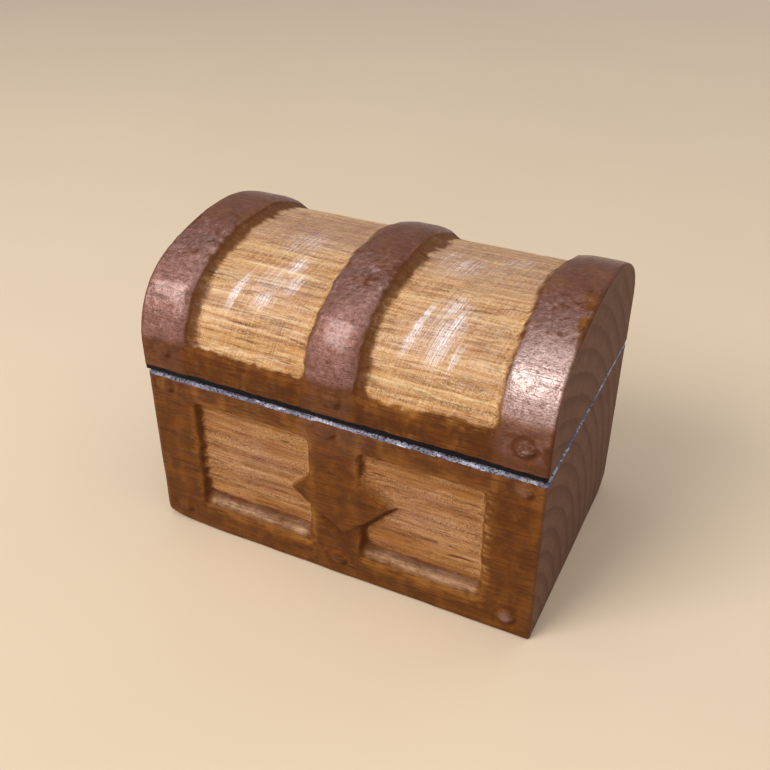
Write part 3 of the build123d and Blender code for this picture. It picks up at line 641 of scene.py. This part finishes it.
def make_lid():
    shell = Shell()
    n_rows, n_mid, n_end, n_edge = 236, 232, 60, 5
    edge_r = 0.35            # of the arrises between barrel and ends
    bottom = LID_BOTTOM + RIM_DROP
    skirt = 1.0              # height of the painted edge under the carved skin
    s, py, pz, ny, nz = lid_profile(bottom + skirt, n_rows)
    turn = np.radians([90, 60, 30])
    x_edge = HALF_L - edge_r + edge_r * np.sin(turn)
    in_edge = edge_r * (1 - np.cos(turn))
    x = np.concatenate([-x_edge, np.linspace(-(HALF_L - edge_r), HALF_L - edge_r, n_mid), x_edge[::-1]])
    round_in = np.concatenate([in_edge, np.zeros(n_mid), in_edge[::-1]])

    wall = slice(0, n_rows // 3)
    low = np.interp(LID_RAIL_TOP, pz[wall], s[wall])
    high = s[-1] - np.interp(LID_RAIL_TOP, pz[::-1][wall], s[wall])
    gx, gs = np.meshgrid(x, s)
    depth, masks = lid_relief(gx, gs, low, high)
    away = step(1.2, 0.3, HALF_L - np.abs(gx))
    depth = depth * (1 - away) + np.clip(depth, 0, 0.2) * away + round_in
    widths = {-1: seam_width(x, -HALF_D), 1: seam_width(x, HALF_D)}
    points = np.stack([gx, py[:, None] - depth * ny[:, None], pz[:, None] - depth * nz[:, None]], -1)
    for side, along in ((-1, s), (1, s[-1] - s)):
        points[..., 2] += np.exp(-along / 1.5)[:, None] * (widths[side] - skirt)
    masks["dark"] = np.clip(masks["dark"] + 0.80 * bell(HALF_L - np.abs(gx), 0.60), 0, 1)
    skin = shell.add(points, flow=(gx, gs), **masks)
    for j in range(n_rows - 1):
        shell.strip(skin[j], skin[j + 1])

    side_y = np.linspace(-1, 1, n_end + 2)[1:-1] * (HALF_D - edge_r)
    side_width = seam_width(HALF_L, side_y)
    side_z = bottom + side_width
    feet = {}
    for side in (1, -1):
        foot = np.stack([np.full(n_end, side * HALF_L), side_y, side_z], -1)
        feet[side] = shell.add(foot, flow=(side_y, side_z), end=1, band=1)

    def loop(front, right, back, left):
        return np.concatenate([front, right, back[::-1], left[::-1]])

    row = loop(skin[0], feet[1], skin[-1], feet[-1])
    for k in range(1, n_edge + 1):
        w = k / n_edge
        e_in = side_width * w * LID_SEAM_IN
        parts = {}
        for side in (-1, 1):
            width = widths[side]
            inset = width * w * LID_SEAM_IN
            y = side * (HALF_D - depth[0 if side < 0 else -1] * (1 - w) - inset)
            if side < 0:
                y = y + 0.05 * math.sin(math.pi * w) * value_noise(x / 0.8, k, 44)
            parts[side] = np.stack([x * (HALF_L - inset) / HALF_L, y, bottom + width * (1 - w)], -1)
        ends = {side: np.stack([side * (HALF_L - e_in), side_y * (HALF_D - e_in) / HALF_D,
                                bottom + side_width * (1 - w)], -1) for side in (1, -1)}
        ring = loop(parts[-1], ends[1], parts[1], ends[-1])
        row = shell.grow(row, ring, flip=True, seam=1, band=1)
    hollow_out(shell, row, ring, bottom, (bottom + 0.25, bottom + 3, CEILING_Z), flip=True)

    coordinates = np.concatenate(shell.points)
    for side, column in ((1, -1), (-1, 0)):
        row = np.concatenate([skin[:1, column], feet[side], skin[::-1, column][:-1]])
        outline = coordinates[row]
        middle = np.array([side * HALF_L, 0.0, 40.5])
        for w in (0.02, 0.08, 0.25, 0.6):
            ring = outline * (1 - w) + middle * w
            ring[:, 0] = side * HALF_L
            near = 1 - math.exp(-w * 30)
            flow = ring[:, 1], ring[:, 2]
            row = shell.grow(row, ring, side < 0, flow=flow, end=near, band=1, dark=0.5 * (1 - near))
        shell.fan(row, shell.add(middle[None], end=1, band=1)[0], side < 0)
    return shell.build("carved_lid")


# ---------------------------------------------------------------- felt lining
def felt_slab(name, node, up):
    """Soft felt pad on the floor (up 1) or ceiling (up -1) of a hollow, with a fuzzy face and rolled edge."""
    lo, hi = box_mm(node)
    shell = Shell()
    fraction = np.linspace(0, 4, 360, endpoint=False)
    seat, face = (lo[2], hi[2]) if up > 0 else (hi[2], lo[2])
    mid = (lo + hi) / 2
    centre = shell.add([[mid[0], mid[1], seat]])[0]
    edge = [(6.0, seat), (0.15, seat), (0.02, seat + up * 0.15), (0.0, seat + (face - seat) * 0.55)]
    rolled = [(0.12, face - up * 0.16), (0.42, face - up * 0.03)]
    row = None
    for k, (inset, z) in enumerate(edge + rolled + [(inset, face) for inset in np.arange(0.9, 13.6, 0.5)]):
        ring = round_rect(fraction, lo, hi, inset, HOLLOW_R, 0.3)
        x, y = ring.T
        if k >= len(edge):
            fuzz = 0.07 * fbm(x / 0.8, y / 0.8, 500 + up) - 0.06
            z = z + up * np.minimum(fuzz + 0.10 * fbm(x / 9, y / 9, 510 + up), 0.0)
        if row is None:
            row = shell.add(at_height(ring, z))
            shell.fan(row, centre, up > 0)
        else:
            row = shell.grow(row, at_height(ring, z), up < 0)
    shell.fan(row, shell.add([[mid[0], mid[1], face - up * 0.05]])[0], up < 0)
    return shell.build(name, sharp=75)


def felt_wall(name, node):
    """Felt strip round the wall of the base's hollow, with a soft hand-cut top edge."""
    lo, hi = box_mm(node)
    shell = Shell()
    fraction = np.linspace(0, 4, 420, endpoint=False)
    middle = np.array([0.0, (lo[1] + hi[1]) / 2])
    thick, foot, top = 0.8, lo[2], hi[2]
    rows = [(0.04, foot), (0.04, top - 0.35), (0.16, top - 0.08), (0.40, top), (0.62, top - 0.10)]
    rows += [(thick, top - 0.4)]
    cut = range(1, len(rows))   # rows that follow the hand-cut edge
    rows += [(thick, z) for z in np.arange(top - 1.0, foot + 0.4, -0.8)] + [(thick, foot)]
    first = row = None
    wave = 0.16 * value_noise(fraction * 7, 0.5, 520) + 0.06 * value_noise(fraction * 40, 0.5, 521) - 0.2
    for k, (inset, z) in enumerate(rows):
        ring = round_rect(fraction, lo, hi, inset, HOLLOW_R, 0.3)
        if inset == thick:
            out = ring - middle
            fuzz = 0.05 * fbm(fraction * 45, z / 0.8, 522)
            ring = ring + out / np.linalg.norm(out, axis=1)[:, None] * fuzz[:, None]
        if k in cut:
            z = z + wave
        if row is None:
            first = row = shell.add(at_height(ring, z))
        else:
            row = shell.grow(row, at_height(ring, z))
    shell.strip(np.append(row, row[0]), np.append(first, first[0]))
    return shell.build(name, sharp=75)


# ---------------------------------------------------------------- node graphs
class Value:
    """A node's output. Arithmetic with it adds math nodes."""

    def __init__(self, graph, socket):
        self.graph, self.socket = graph, socket

    def __add__(self, other):
        return self.graph.math("ADD", self, other)

    def __mul__(self, other):
        return self.graph.math("MULTIPLY", self, other)

    def __sub__(self, other):
        return self.graph.math("SUBTRACT", self, other)

    def __rsub__(self, other):
        return self.graph.math("SUBTRACT", other, self)

    __radd__, __rmul__ = __add__, __mul__


class Graph:
    """A material with one Principled shader, and short calls for the nodes that feed it."""

    def __init__(self, name):
        self.material = bpy.data.materials.new(name)
        self.material.use_nodes = True
        self.tree = self.material.node_tree
        self.shader = next(n for n in self.tree.nodes if n.type == "BSDF_PRINCIPLED")

    def put(self, socket, value):
        if isinstance(value, Value):
            self.tree.links.new(value.socket, socket)
        elif isinstance(value, tuple) and len(value) == 3 and socket.type == "RGBA":
            socket.default_value = (*value, 1)
        else:
            socket.default_value = value

    def new(self, kind, inputs, **settings):
        node = self.tree.nodes.new(kind)
        for key, value in settings.items():
            setattr(node, key, value)
        for key, value in inputs.items():
            self.put(node.inputs[key], value)
        return node

    def out(self, output, kind, inputs, **settings):
        return Value(self, self.new(kind, inputs, **settings).outputs[output])

    def math(self, op, a, b=0.0, clamp=False):
        return self.out(0, "ShaderNodeMath", {0: a, 1: b}, operation=op, use_clamp=clamp)

    def vector(self, op, a, b=(0.0, 0.0, 0.0)):
        output = "Value" if op == "LENGTH" else "Vector"
        return self.out(output, "ShaderNodeVectorMath", {0: a, 1: b}, operation=op)

    def mix(self, fac, a, b, blend="MIX"):
        inputs = {0: fac, 6: a, 7: b}
        return self.out(2, "ShaderNodeMix", inputs, data_type="RGBA", blend_type=blend, clamp_factor=True)

    def coats(self, colour, *coats):
        """Lays coats of (strength, colour) over a colour, one after the other."""
        for strength, coat in coats:
            colour = self.mix(strength, colour, coat)
        return colour

    def level(self, value, lo, hi):
        """0 at lo and 1 at hi, smoothed."""
        return self.out(0, "ShaderNodeMapRange", {0: value, 1: lo, 2: hi}, interpolation_type="SMOOTHSTEP")

    def ramp(self, value, *stops):
        node = self.new("ShaderNodeValToRGB", {0: value})
        ramp = node.color_ramp
        ramp.interpolation = "EASE"
        while len(ramp.elements) < len(stops):
            ramp.elements.new(0.5)
        for element, (at, colour) in zip(ramp.elements, stops):
            element.position = at
            element.color = (*colour, 1)
        return Value(self, node.outputs[0])

    def noise(self, vector, stretch, detail=2.0, rough=0.5, distort=0.0):
        """Noise from 0 to 1; stretch is how many lumps to a unit, the same or one for each axis."""
        if not isinstance(stretch, tuple):
            stretch = (stretch,) * 3
        place = self.vector("MULTIPLY", vector, stretch)
        return self.out(0, "ShaderNodeTexNoise", {"Vector": place, "Scale": 1.0, "Detail": detail,
                                                  "Roughness": rough, "Distortion": distort})

    def masks(self, name):
        colour = self.out("Color", "ShaderNodeAttribute", {}, attribute_name=name)
        return [Value(self, socket) for socket in self.new("ShaderNodeSeparateColor", {0: colour}).outputs]

    def place(self, shift=(0.0, 0.0, 0.0)):
        """Position in the object's own frame, in mm."""
        metres = self.out("Object", "ShaderNodeTexCoord", {})
        return self.vector("ADD", self.vector("MULTIPLY", metres, (1000.0,) * 3), shift)

    def finish(self, height, strength, **values):
        """Feeds a height in mm to the shader's normal, and the other values to its sockets."""
        bump = {"Strength": strength, "Distance": MM, "Height": height}
        values["Normal"] = self.out(0, "ShaderNodeBump", bump)
        for key, value in values.items():
            self.put(self.shader.inputs[key.replace("_", " ")], value)
        return self.material


def carved_wood(name, shift, tone, stain_tone, paint, paint_reflection, paint_speck, paint_gloss):
    """Open-grained hardwood: golden carved panels, stained frame, copper wax on the bands, painted seam, with
    painted shade, highlights, sheen and reflections laid into the colour.
    """
    g = Graph(name)
    p, raw = g.place(shift), g.place()
    copper, band, dark = g.masks("carve_a")
    amber, wear, ledge = g.masks("carve_b")
    end, seam, inside = g.masks("carve_c")
    split, light, haze = g.masks("carve_d")
    flow = g.out("Vector", "ShaderNodeAttribute", {}, attribute_name="flow")
    not_band = 1.0 - band

    # Grain and pores along x, and patches that have no direction.
    fibre = g.noise(p, (0.055, 1.35, 1.35), 5, 0.62, 0.2)
    fine = g.noise(p, (0.20, 5.5, 5.5), 3, 0.6)
    pore = g.level(g.noise(p, (0.42, 3.6, 3.6)), 0.635, 0.72)
    broad = g.noise(p, (0.03, 0.16, 0.16))
    belt = g.noise(p, (0.030, 0.50, 0.50), 2, 0.55, 0.6)
    patch = g.noise(p, 0.30, 3, 0.6)
    mottled = g.noise(p, 1.1, 4, 0.65)
    grit = g.noise(p, 3.4, 3, 0.7)
    grain = 0.62 * fibre + 0.28 * fine + 0.10 * broad
    panel_grain = 0.52 * fibre + 0.22 * fine + 0.26 * belt
    vein = g.math("ABSOLUTE", g.noise(p, (0.050, 0.72, 0.72), 4, 0.55, 0.5) - 0.5)
    vein = g.level(vein, 0.030, 0.004) * g.level(patch, 0.36, 0.52)

    # Growth rings round a pith behind and below the box.
    radius = g.vector("LENGTH", g.vector("MULTIPLY", g.vector("ADD", raw, (0.0, 35.0, 5.0)), (0.03, 1.0, 1.0)))
    phase = g.math("FRACT", 0.29 * (radius + 1.6 * g.noise(p, (0.02, 0.09, 0.09), 3)))
    late = g.level(phase, 0.35, 0.93) * g.level(phase, 1.0, 0.95)

    panel = g.coats(
        g.ramp(panel_grain, (0.36, (0.20, 0.072, 0.018)), (0.455, (0.41, 0.190, 0.062)),
               (0.54, (0.57, 0.325, 0.140)), (0.66, (0.84, 0.65, 0.43))),
        (0.22 * late, (0.30, 0.125, 0.040)),
        # Painted highlight on the ridges between the grooves and on the panels' lit edges.
        (0.42 * (light * g.level(grit, 0.38, 0.60)), (0.86, 0.68, 0.42)),
        (0.20 * g.level(grit, 0.50, 0.66), (0.92, 0.72, 0.48)),
        (0.30 * g.level(grit, 0.47, 0.34), (0.22, 0.090, 0.028)),
        (0.45 * vein, (0.15, 0.052, 0.012)),
        (0.80 * g.level(split + 0.4 * fine, 0.35, 0.95), (0.125, 0.042, 0.009)),
        (0.35 * pore, (0.14, 0.050, 0.013)))
    panel = g.mix(1.0, panel, tone, "MULTIPLY")
    # Wear with painted pinkish sheen, in the middle of the panels and over the lid's crown.
    wear_and_sheen_cover = 0.80 * (wear * g.level(0.5 * mottled + 0.5 * grit, 0.34, 0.60))
    panel = g.mix(wear_and_sheen_cover, panel, (0.42, 0.255, 0.190))

    drips = g.noise(flow, (0.42, 0.20, 1.0), 3, 0.58)
    stained = g.coats(
        g.ramp(grain, (0.30, (0.095, 0.026, 0.0032)), (0.46, (0.143, 0.042, 0.0055)),
               (0.58, (0.178, 0.058, 0.0085)), (0.74, (0.230, 0.088, 0.017))),
        (0.55 * pore, (0.040, 0.011, 0.002)),
        (0.45 * vein, (0.050, 0.014, 0.002)),
        (0.45 * g.level(patch, 0.54, 0.40), (0.070, 0.019, 0.002)),
        (0.26 * g.level(drips, 0.50, 0.66), (0.270, 0.108, 0.018)),
        (0.30 * g.level(drips, 0.50, 0.36), (0.072, 0.020, 0.003)))
    stained = g.mix(1.0, stained, stain_tone, "MULTIPLY")

    # Mottle that breaks up the painted highlight along the sills.
    highlight_mottle = g.level(0.45 * patch + 0.30 * mottled + 0.25 * fine, 0.34, 0.60)
    golden = g.level(0.5 * patch + 0.5 * fine, 0.40, 0.56)
    # Real stain and painted shade, as one mask.
    stain_and_shade_cover = g.level(dark + 0.6 * (mottled - 0.5), 0.15, 0.85)
    tilted = g.out(0, "ShaderNodeMapping", {"Vector": g.vector("ADD", flow, (0.0, 0.0, 3.0)),
                                            "Rotation": (0, 0, math.atan(SCRATCH_SLANT))}, vector_type="POINT")
    lines = g.noise(tilted, (4.6, 0.060, 1.0), 3, 0.66)
    broken = g.noise(flow, (0.5, 1.6, 1.0), 3, 0.6)
    chatter = g.level(lines, 0.44, 0.58) * g.level(broken, 0.30, 0.60) * g.level(haze, 0.02, 0.09)
    scratch = g.level(lines, 0.46, 0.60) * g.level(broken, 0.36, 0.52) * g.level(haze, 0.10, 0.75)
    wood = g.coats(
        g.mix(band, panel, stained),
        # Painted highlight along the sills, with their wax.
        (0.78 * (ledge * highlight_mottle), (0.70, 0.455, 0.300)),
        (0.75 * (amber * golden), (0.30, 0.118, 0.018)),
        # Dark brown of real stain and painted shade.
        (0.90 * stain_and_shade_cover, (0.090, 0.026, 0.0055)),
        (0.20 * (chatter * not_band * (1.0 - stain_and_shade_cover)), (0.86, 0.68, 0.46)),
        # Painted whitish sheen round the scratch bundles; then the scratches, partly painted glints.
        (0.60 * (g.level(haze, 0.12, 0.95) * g.level(grit, 0.34, 0.60)), (0.80, 0.70, 0.68)),
        (0.80 * scratch, (0.86, 0.80, 0.82)))

    rays = g.noise(g.vector("MULTIPLY", raw, (0.2, 1.0, 1.0)), (1.0, 2.6, 2.6), 3, 0.65)
    # End grain, darker than the long grain and darkened further as painted shade of the ends.
    end_grain_and_shade = g.ramp(0.6 * rays + 0.4 * patch, (0.30, (0.105, 0.044, 0.026)),
                      (0.52, (0.160, 0.078, 0.051)), (0.72, (0.225, 0.125, 0.090)))
    wood = g.mix(end, wood, g.mix(0.46 * late, end_grain_and_shade, (0.072, 0.029, 0.017)))

    wax_break = g.level(0.55 * mottled + 0.45 * fine, 0.36, 0.56)
    wax = g.level(copper, 0.05, 0.95) * (0.62 + 0.38 * wax_break) * (1.0 - 0.85 * stain_and_shade_cover) * (1.0 - end)
    crumb = g.level(g.noise(p, 1.8, 4, 0.72, 0.6), 0.54, 0.64)
    wax_and_highlight_colour = g.coats(
        g.ramp(0.55 * mottled + 0.45 * grit, (0.34, (0.19, 0.080, 0.064)),
               (0.50, (0.29, 0.140, 0.116)), (0.66, (0.40, 0.225, 0.195))),
        # Painted highlight and glints on the wax.
        (light * g.level(grit, 0.30, 0.52), (0.92, 0.74, 0.70)),
        (0.40 * crumb, (0.070, 0.026, 0.018)))
    bare = g.ramp(grain, (0.32, (0.30, 0.17, 0.085)), (0.55, (0.50, 0.32, 0.18)), (0.74, (0.64, 0.45, 0.28)))
    bare = g.mix(0.5 * pore, bare, (0.16, 0.08, 0.04))

    # Painted reflection on the base's painted edge: silvery grey over dark gloss paint, brighter in patches and
    # with painted glints where light is high; on the lid it stays near black.
    speck = g.level(g.noise(raw, 2.6, 3, 0.7), 0.50, 0.60)
    bright = g.level(g.noise(raw, 0.22, 3, 0.7), 0.46, 0.62)
    painted_flash = g.level(g.noise(raw, (0.42, 1.1, 1.1), 3, 0.6), 0.56, 0.68)
    paint_with_reflection = g.coats(
        g.mix(bright * (0.25 + 0.75 * light), paint, paint_reflection),
        (0.85 * (painted_flash * light), tuple(1.9 * c for c in paint_reflection)),
        (speck, paint_speck))
    ragged = g.level(seam + 0.9 * (mottled - 0.5), 0.42, 0.58)
    colour = g.coats(wood, (0.88 * wax, wax_and_highlight_colour), (inside, bare), (ragged, paint_with_reflection))

    not_paint = 1.0 - ragged
    gloss = 0.32 * not_band + 0.6 * wax + paint_gloss * ragged + 0.28 * (band * not_paint)
    gloss = gloss * (1.0 - 0.85 * stain_and_shade_cover)
    rough = 0.40 + 0.22 * fine + 0.18 * end + 0.10 * inside + 0.03 * wax - 0.16 * (wax * light)
    rough = g.math("SUBTRACT", rough, 0.35 * paint_gloss * ragged, clamp=True)
    height = (fibre * (0.05 + 0.12 * not_band) + 0.022 * fine - 0.04 * pore + grit * (0.020 + 0.052 * wax)
              + mottled * (0.02 + 0.035 * wax + 0.03 * band) + 0.16 * (patch * band * (1.0 - wax))
              - 0.028 * (crumb * wax) - 0.07 * vein + 0.02 * scratch)
    height = height * (1.0 - 0.75 * end) + 0.12 * (ragged * mottled)
    return g.finish(height, 0.85, Base_Color=colour, Roughness=rough, Metallic=0.92 * (wax * not_paint),
                    Coat_Weight=0.55 * gloss * (1.0 - 0.85 * end), Coat_Roughness=0.20, Specular_IOR_Level=0.08)


def metal(name, dull, bright, rough, brush, spot):
    """Worn plated or cast metal with brushing and tarnish in patches."""
    g = Graph(name)
    p = g.place()
    brushed = g.noise(p, brush, 4, 0.6)
    tarnish = g.level(g.noise(p, 0.55, 4, 0.65), 0.45, 0.68)
    colour = g.mix(0.55 * tarnish, g.mix(brushed, dull, bright), spot)
    return g.finish(0.012 * brushed + 0.006 * tarnish, 0.8, Base_Color=colour, Metallic=1.0,
                    Roughness=rough + 0.16 * tarnish + 0.08 * brushed)


def felt(name):
    """Pressed wool felt: matted short fibres, slightly uneven dye."""
    g = Graph(name)
    p = g.place()
    matted = g.noise(p, 2.4, 6, 0.75, 1.2)
    fibres = g.noise(p, 9.0, 3, 0.7, 2.5)
    colour = g.ramp(0.5 * matted + 0.3 * fibres + 0.2 * g.noise(p, 0.12), (0.34, (0.006, 0.006, 0.008)),
                    (0.52, (0.018, 0.017, 0.020)), (0.70, (0.060, 0.056, 0.062)))
    return g.finish(0.16 * matted + 0.07 * fibres, 1.0, Base_Color=colour, Roughness=0.86 + 0.12 * fibres,
                    Sheen_Weight=0.45, Sheen_Roughness=0.5, Sheen_Tint=(0.30, 0.29, 0.32))


def desk(name):
    """Pale plain matt table top with a barely visible mottle."""
    g = Graph(name)
    p = g.place()
    colour = g.mix(g.noise(p, 0.012, 3), (0.64, 0.505, 0.36), (0.69, 0.55, 0.40))
    return g.finish(0.01 * g.noise(p, 1.5), 0.3, Base_Color=colour, Roughness=0.55)


# ---------------------------------------------------------------- the pieces
def finish_piece(obj, material, body, slot, *nodes):
    obj.data.materials.append(material)
    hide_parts(*nodes)
    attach(obj, body)


# The base's paint colours are a painted reflection: silvery grey where the paint itself is dark and glossy.
base_wood = carved_wood("base_wood", shift=(0.0, 0.0, 0.0),
                        tone=(0.68, 0.54, 0.42), stain_tone=(0.86, 0.82, 0.50), paint=(0.15, 0.14, 0.20),
                        paint_reflection=(0.36, 0.36, 0.45), paint_speck=(0.014, 0.012, 0.016), paint_gloss=0.8)
lid_wood = carved_wood("lid_wood", shift=(37.0, 11.0, 5.0),
                       tone=(0.90, 0.84, 0.73), stain_tone=(0.75, 0.66, 0.31), paint=(0.003, 0.0026, 0.004),
                       paint_reflection=(0.007, 0.006, 0.010), paint_speck=(0.010, 0.008, 0.010), paint_gloss=0.05)
finish_piece(make_base(), base_wood, "base", "base_wood", "base_block")
finish_piece(make_lid(), lid_wood, "lid", "lid_wood", "lid_block")

wool = felt("felt")
lining_floor = felt_slab("lining_floor", "base_floor_felt", 1)
lining_wall = felt_wall("lining_wall", "base_wall_felt")
lining_lid = felt_slab("lining_lid", "lid_felt", -1)
finish_piece(lining_floor, wool, "base", "felt", "base_floor_felt")
finish_piece(lining_wall, wool, "base", "felt", "base_wall_felt")
finish_piece(lining_lid, wool, "lid", "felt", "lid_felt")


# Hardware finishes: dull and bright colour, roughness, brushing along x, y and z, and tarnish.
FINISHES = {
    "hinge_brass": ((0.36, 0.235, 0.070), (0.74, 0.55, 0.235), 0.26, (0.5, 7, 7), (0.19, 0.105, 0.035)),
    "screw_brass": ((0.40, 0.27, 0.085), (0.82, 0.63, 0.29), 0.22, (3, 3, 9), (0.17, 0.095, 0.035)),
    "pin_steel": ((0.34, 0.34, 0.35), (0.72, 0.72, 0.74), 0.22, (9, 1, 1), (0.16, 0.13, 0.11)),
    "magnet_nickel": ((0.46, 0.46, 0.46), (0.86, 0.85, 0.83), 0.16, (6, 6, 1), (0.30, 0.29, 0.28)),
}
HARDWARE = {slot: metal(slot, *finish) for slot, finish in FINISHES.items()}
SLOT_OF = {part["node"]: part["material_slot"] for part in frame["record"]["subparts"]}
for node, obj in frame["nodes"].items():
    if SLOT_OF.get(node) in HARDWARE:
        obj.data.materials.clear()
        obj.data.materials.append(HARDWARE[SLOT_OF[node]])


# ---------------------------------------------------------------- stage, light, camera
def table_top(half=9.0, cells=24, drop=0.00004):
    """Square table top in metres, just under the box."""
    ticks, n = np.linspace(-half, half, cells + 1), cells + 1
    points = [(x, y, -drop) for y in ticks for x in ticks]
    corners = [j * n + i for j in range(cells) for i in range(cells)]
    mesh = bpy.data.meshes.new("table_top")
    mesh.from_pydata(points, [], [(c, c + 1, c + n + 1, c + n) for c in corners])
    mesh.materials.append(desk("desk"))
    obj = bpy.data.objects.new("table_top", mesh)
    bpy.context.scene.collection.objects.link(obj)


def direction(azimuth, elevation):
    """Unit vector from the box towards a viewer; azimuth 0 is the front."""
    a, e = math.radians(azimuth), math.radians(elevation)
    return Vector((math.sin(a) * math.cos(e), -math.cos(a) * math.cos(e), math.sin(e)))


def soft_box(name, azimuth, elevation, distance, size, watts, colour):
    """Rectangular light that faces a point 30 mm above the table."""
    light = bpy.data.lights.new(name, "AREA")
    light.shape, light.size, light.size_y = "RECTANGLE", size[0], size[1]
    light.energy, light.color = watts, colour
    obj = bpy.data.objects.new(name, light)
    back = direction(azimuth, elevation)
    obj.location = Vector((0, 0, 0.03)) + back * distance
    obj.rotation_mode = "QUATERNION"
    obj.rotation_quaternion = back.to_track_quat("Z", "Y")
    bpy.context.scene.collection.objects.link(obj)


table_top()
soft_box("window", -30, 42, 0.75, (0.40, 0.40), 4.8, (1.0, 0.985, 0.97))
soft_box("ceiling", -40, 84, 0.9, (0.8, 0.8), 2.0, (1.0, 0.97, 0.93))
soft_box("fill", 62, 55, 0.9, (0.7, 0.7), 1.3, (1.0, 0.98, 0.95))
soft_box("room", 150, 20, 1.0, (0.7, 0.5), 1.7, (0.96, 0.98, 1.0))

world = bpy.data.worlds.new("studio")
world.use_nodes = True
background = next(n for n in world.node_tree.nodes if n.type == "BACKGROUND")
background.inputs[0].default_value = (0.84, 0.84, 0.86, 1)
background.inputs[1].default_value = 0.45
bpy.context.scene.world = world
bpy.context.scene.view_settings.view_transform = "Standard"

# The photograph's viewpoint, fitted to the box: angles in degrees, the point looked at and the lens's distance.
AZIMUTH, ELEVATION, ROLL = 25.98, 32.75, 0.17
AIM = Vector((-1.33, 0.0, 24.82)) * MM
DISTANCE = 164.93 * MM
camera = bpy.data.objects.new("camera", bpy.data.cameras.new("camera"))
camera.data.sensor_width, camera.data.lens = 36.0, 43.84
camera.data.clip_start, camera.data.clip_end = 0.01, 20.0
back = direction(AZIMUTH, ELEVATION)
right = (-back).cross(Vector((0, 0, 1))).normalized()
up = right.cross(-back)
roll = math.radians(ROLL)
right, up = math.cos(roll) * right + math.sin(roll) * up, math.cos(roll) * up - math.sin(roll) * right
turned = Matrix((right, up, back)).transposed().to_4x4()
camera.matrix_world = Matrix.Translation(AIM + back * DISTANCE) @ turned
bpy.context.scene.collection.objects.link(camera)
bpy.context.scene.camera = camera
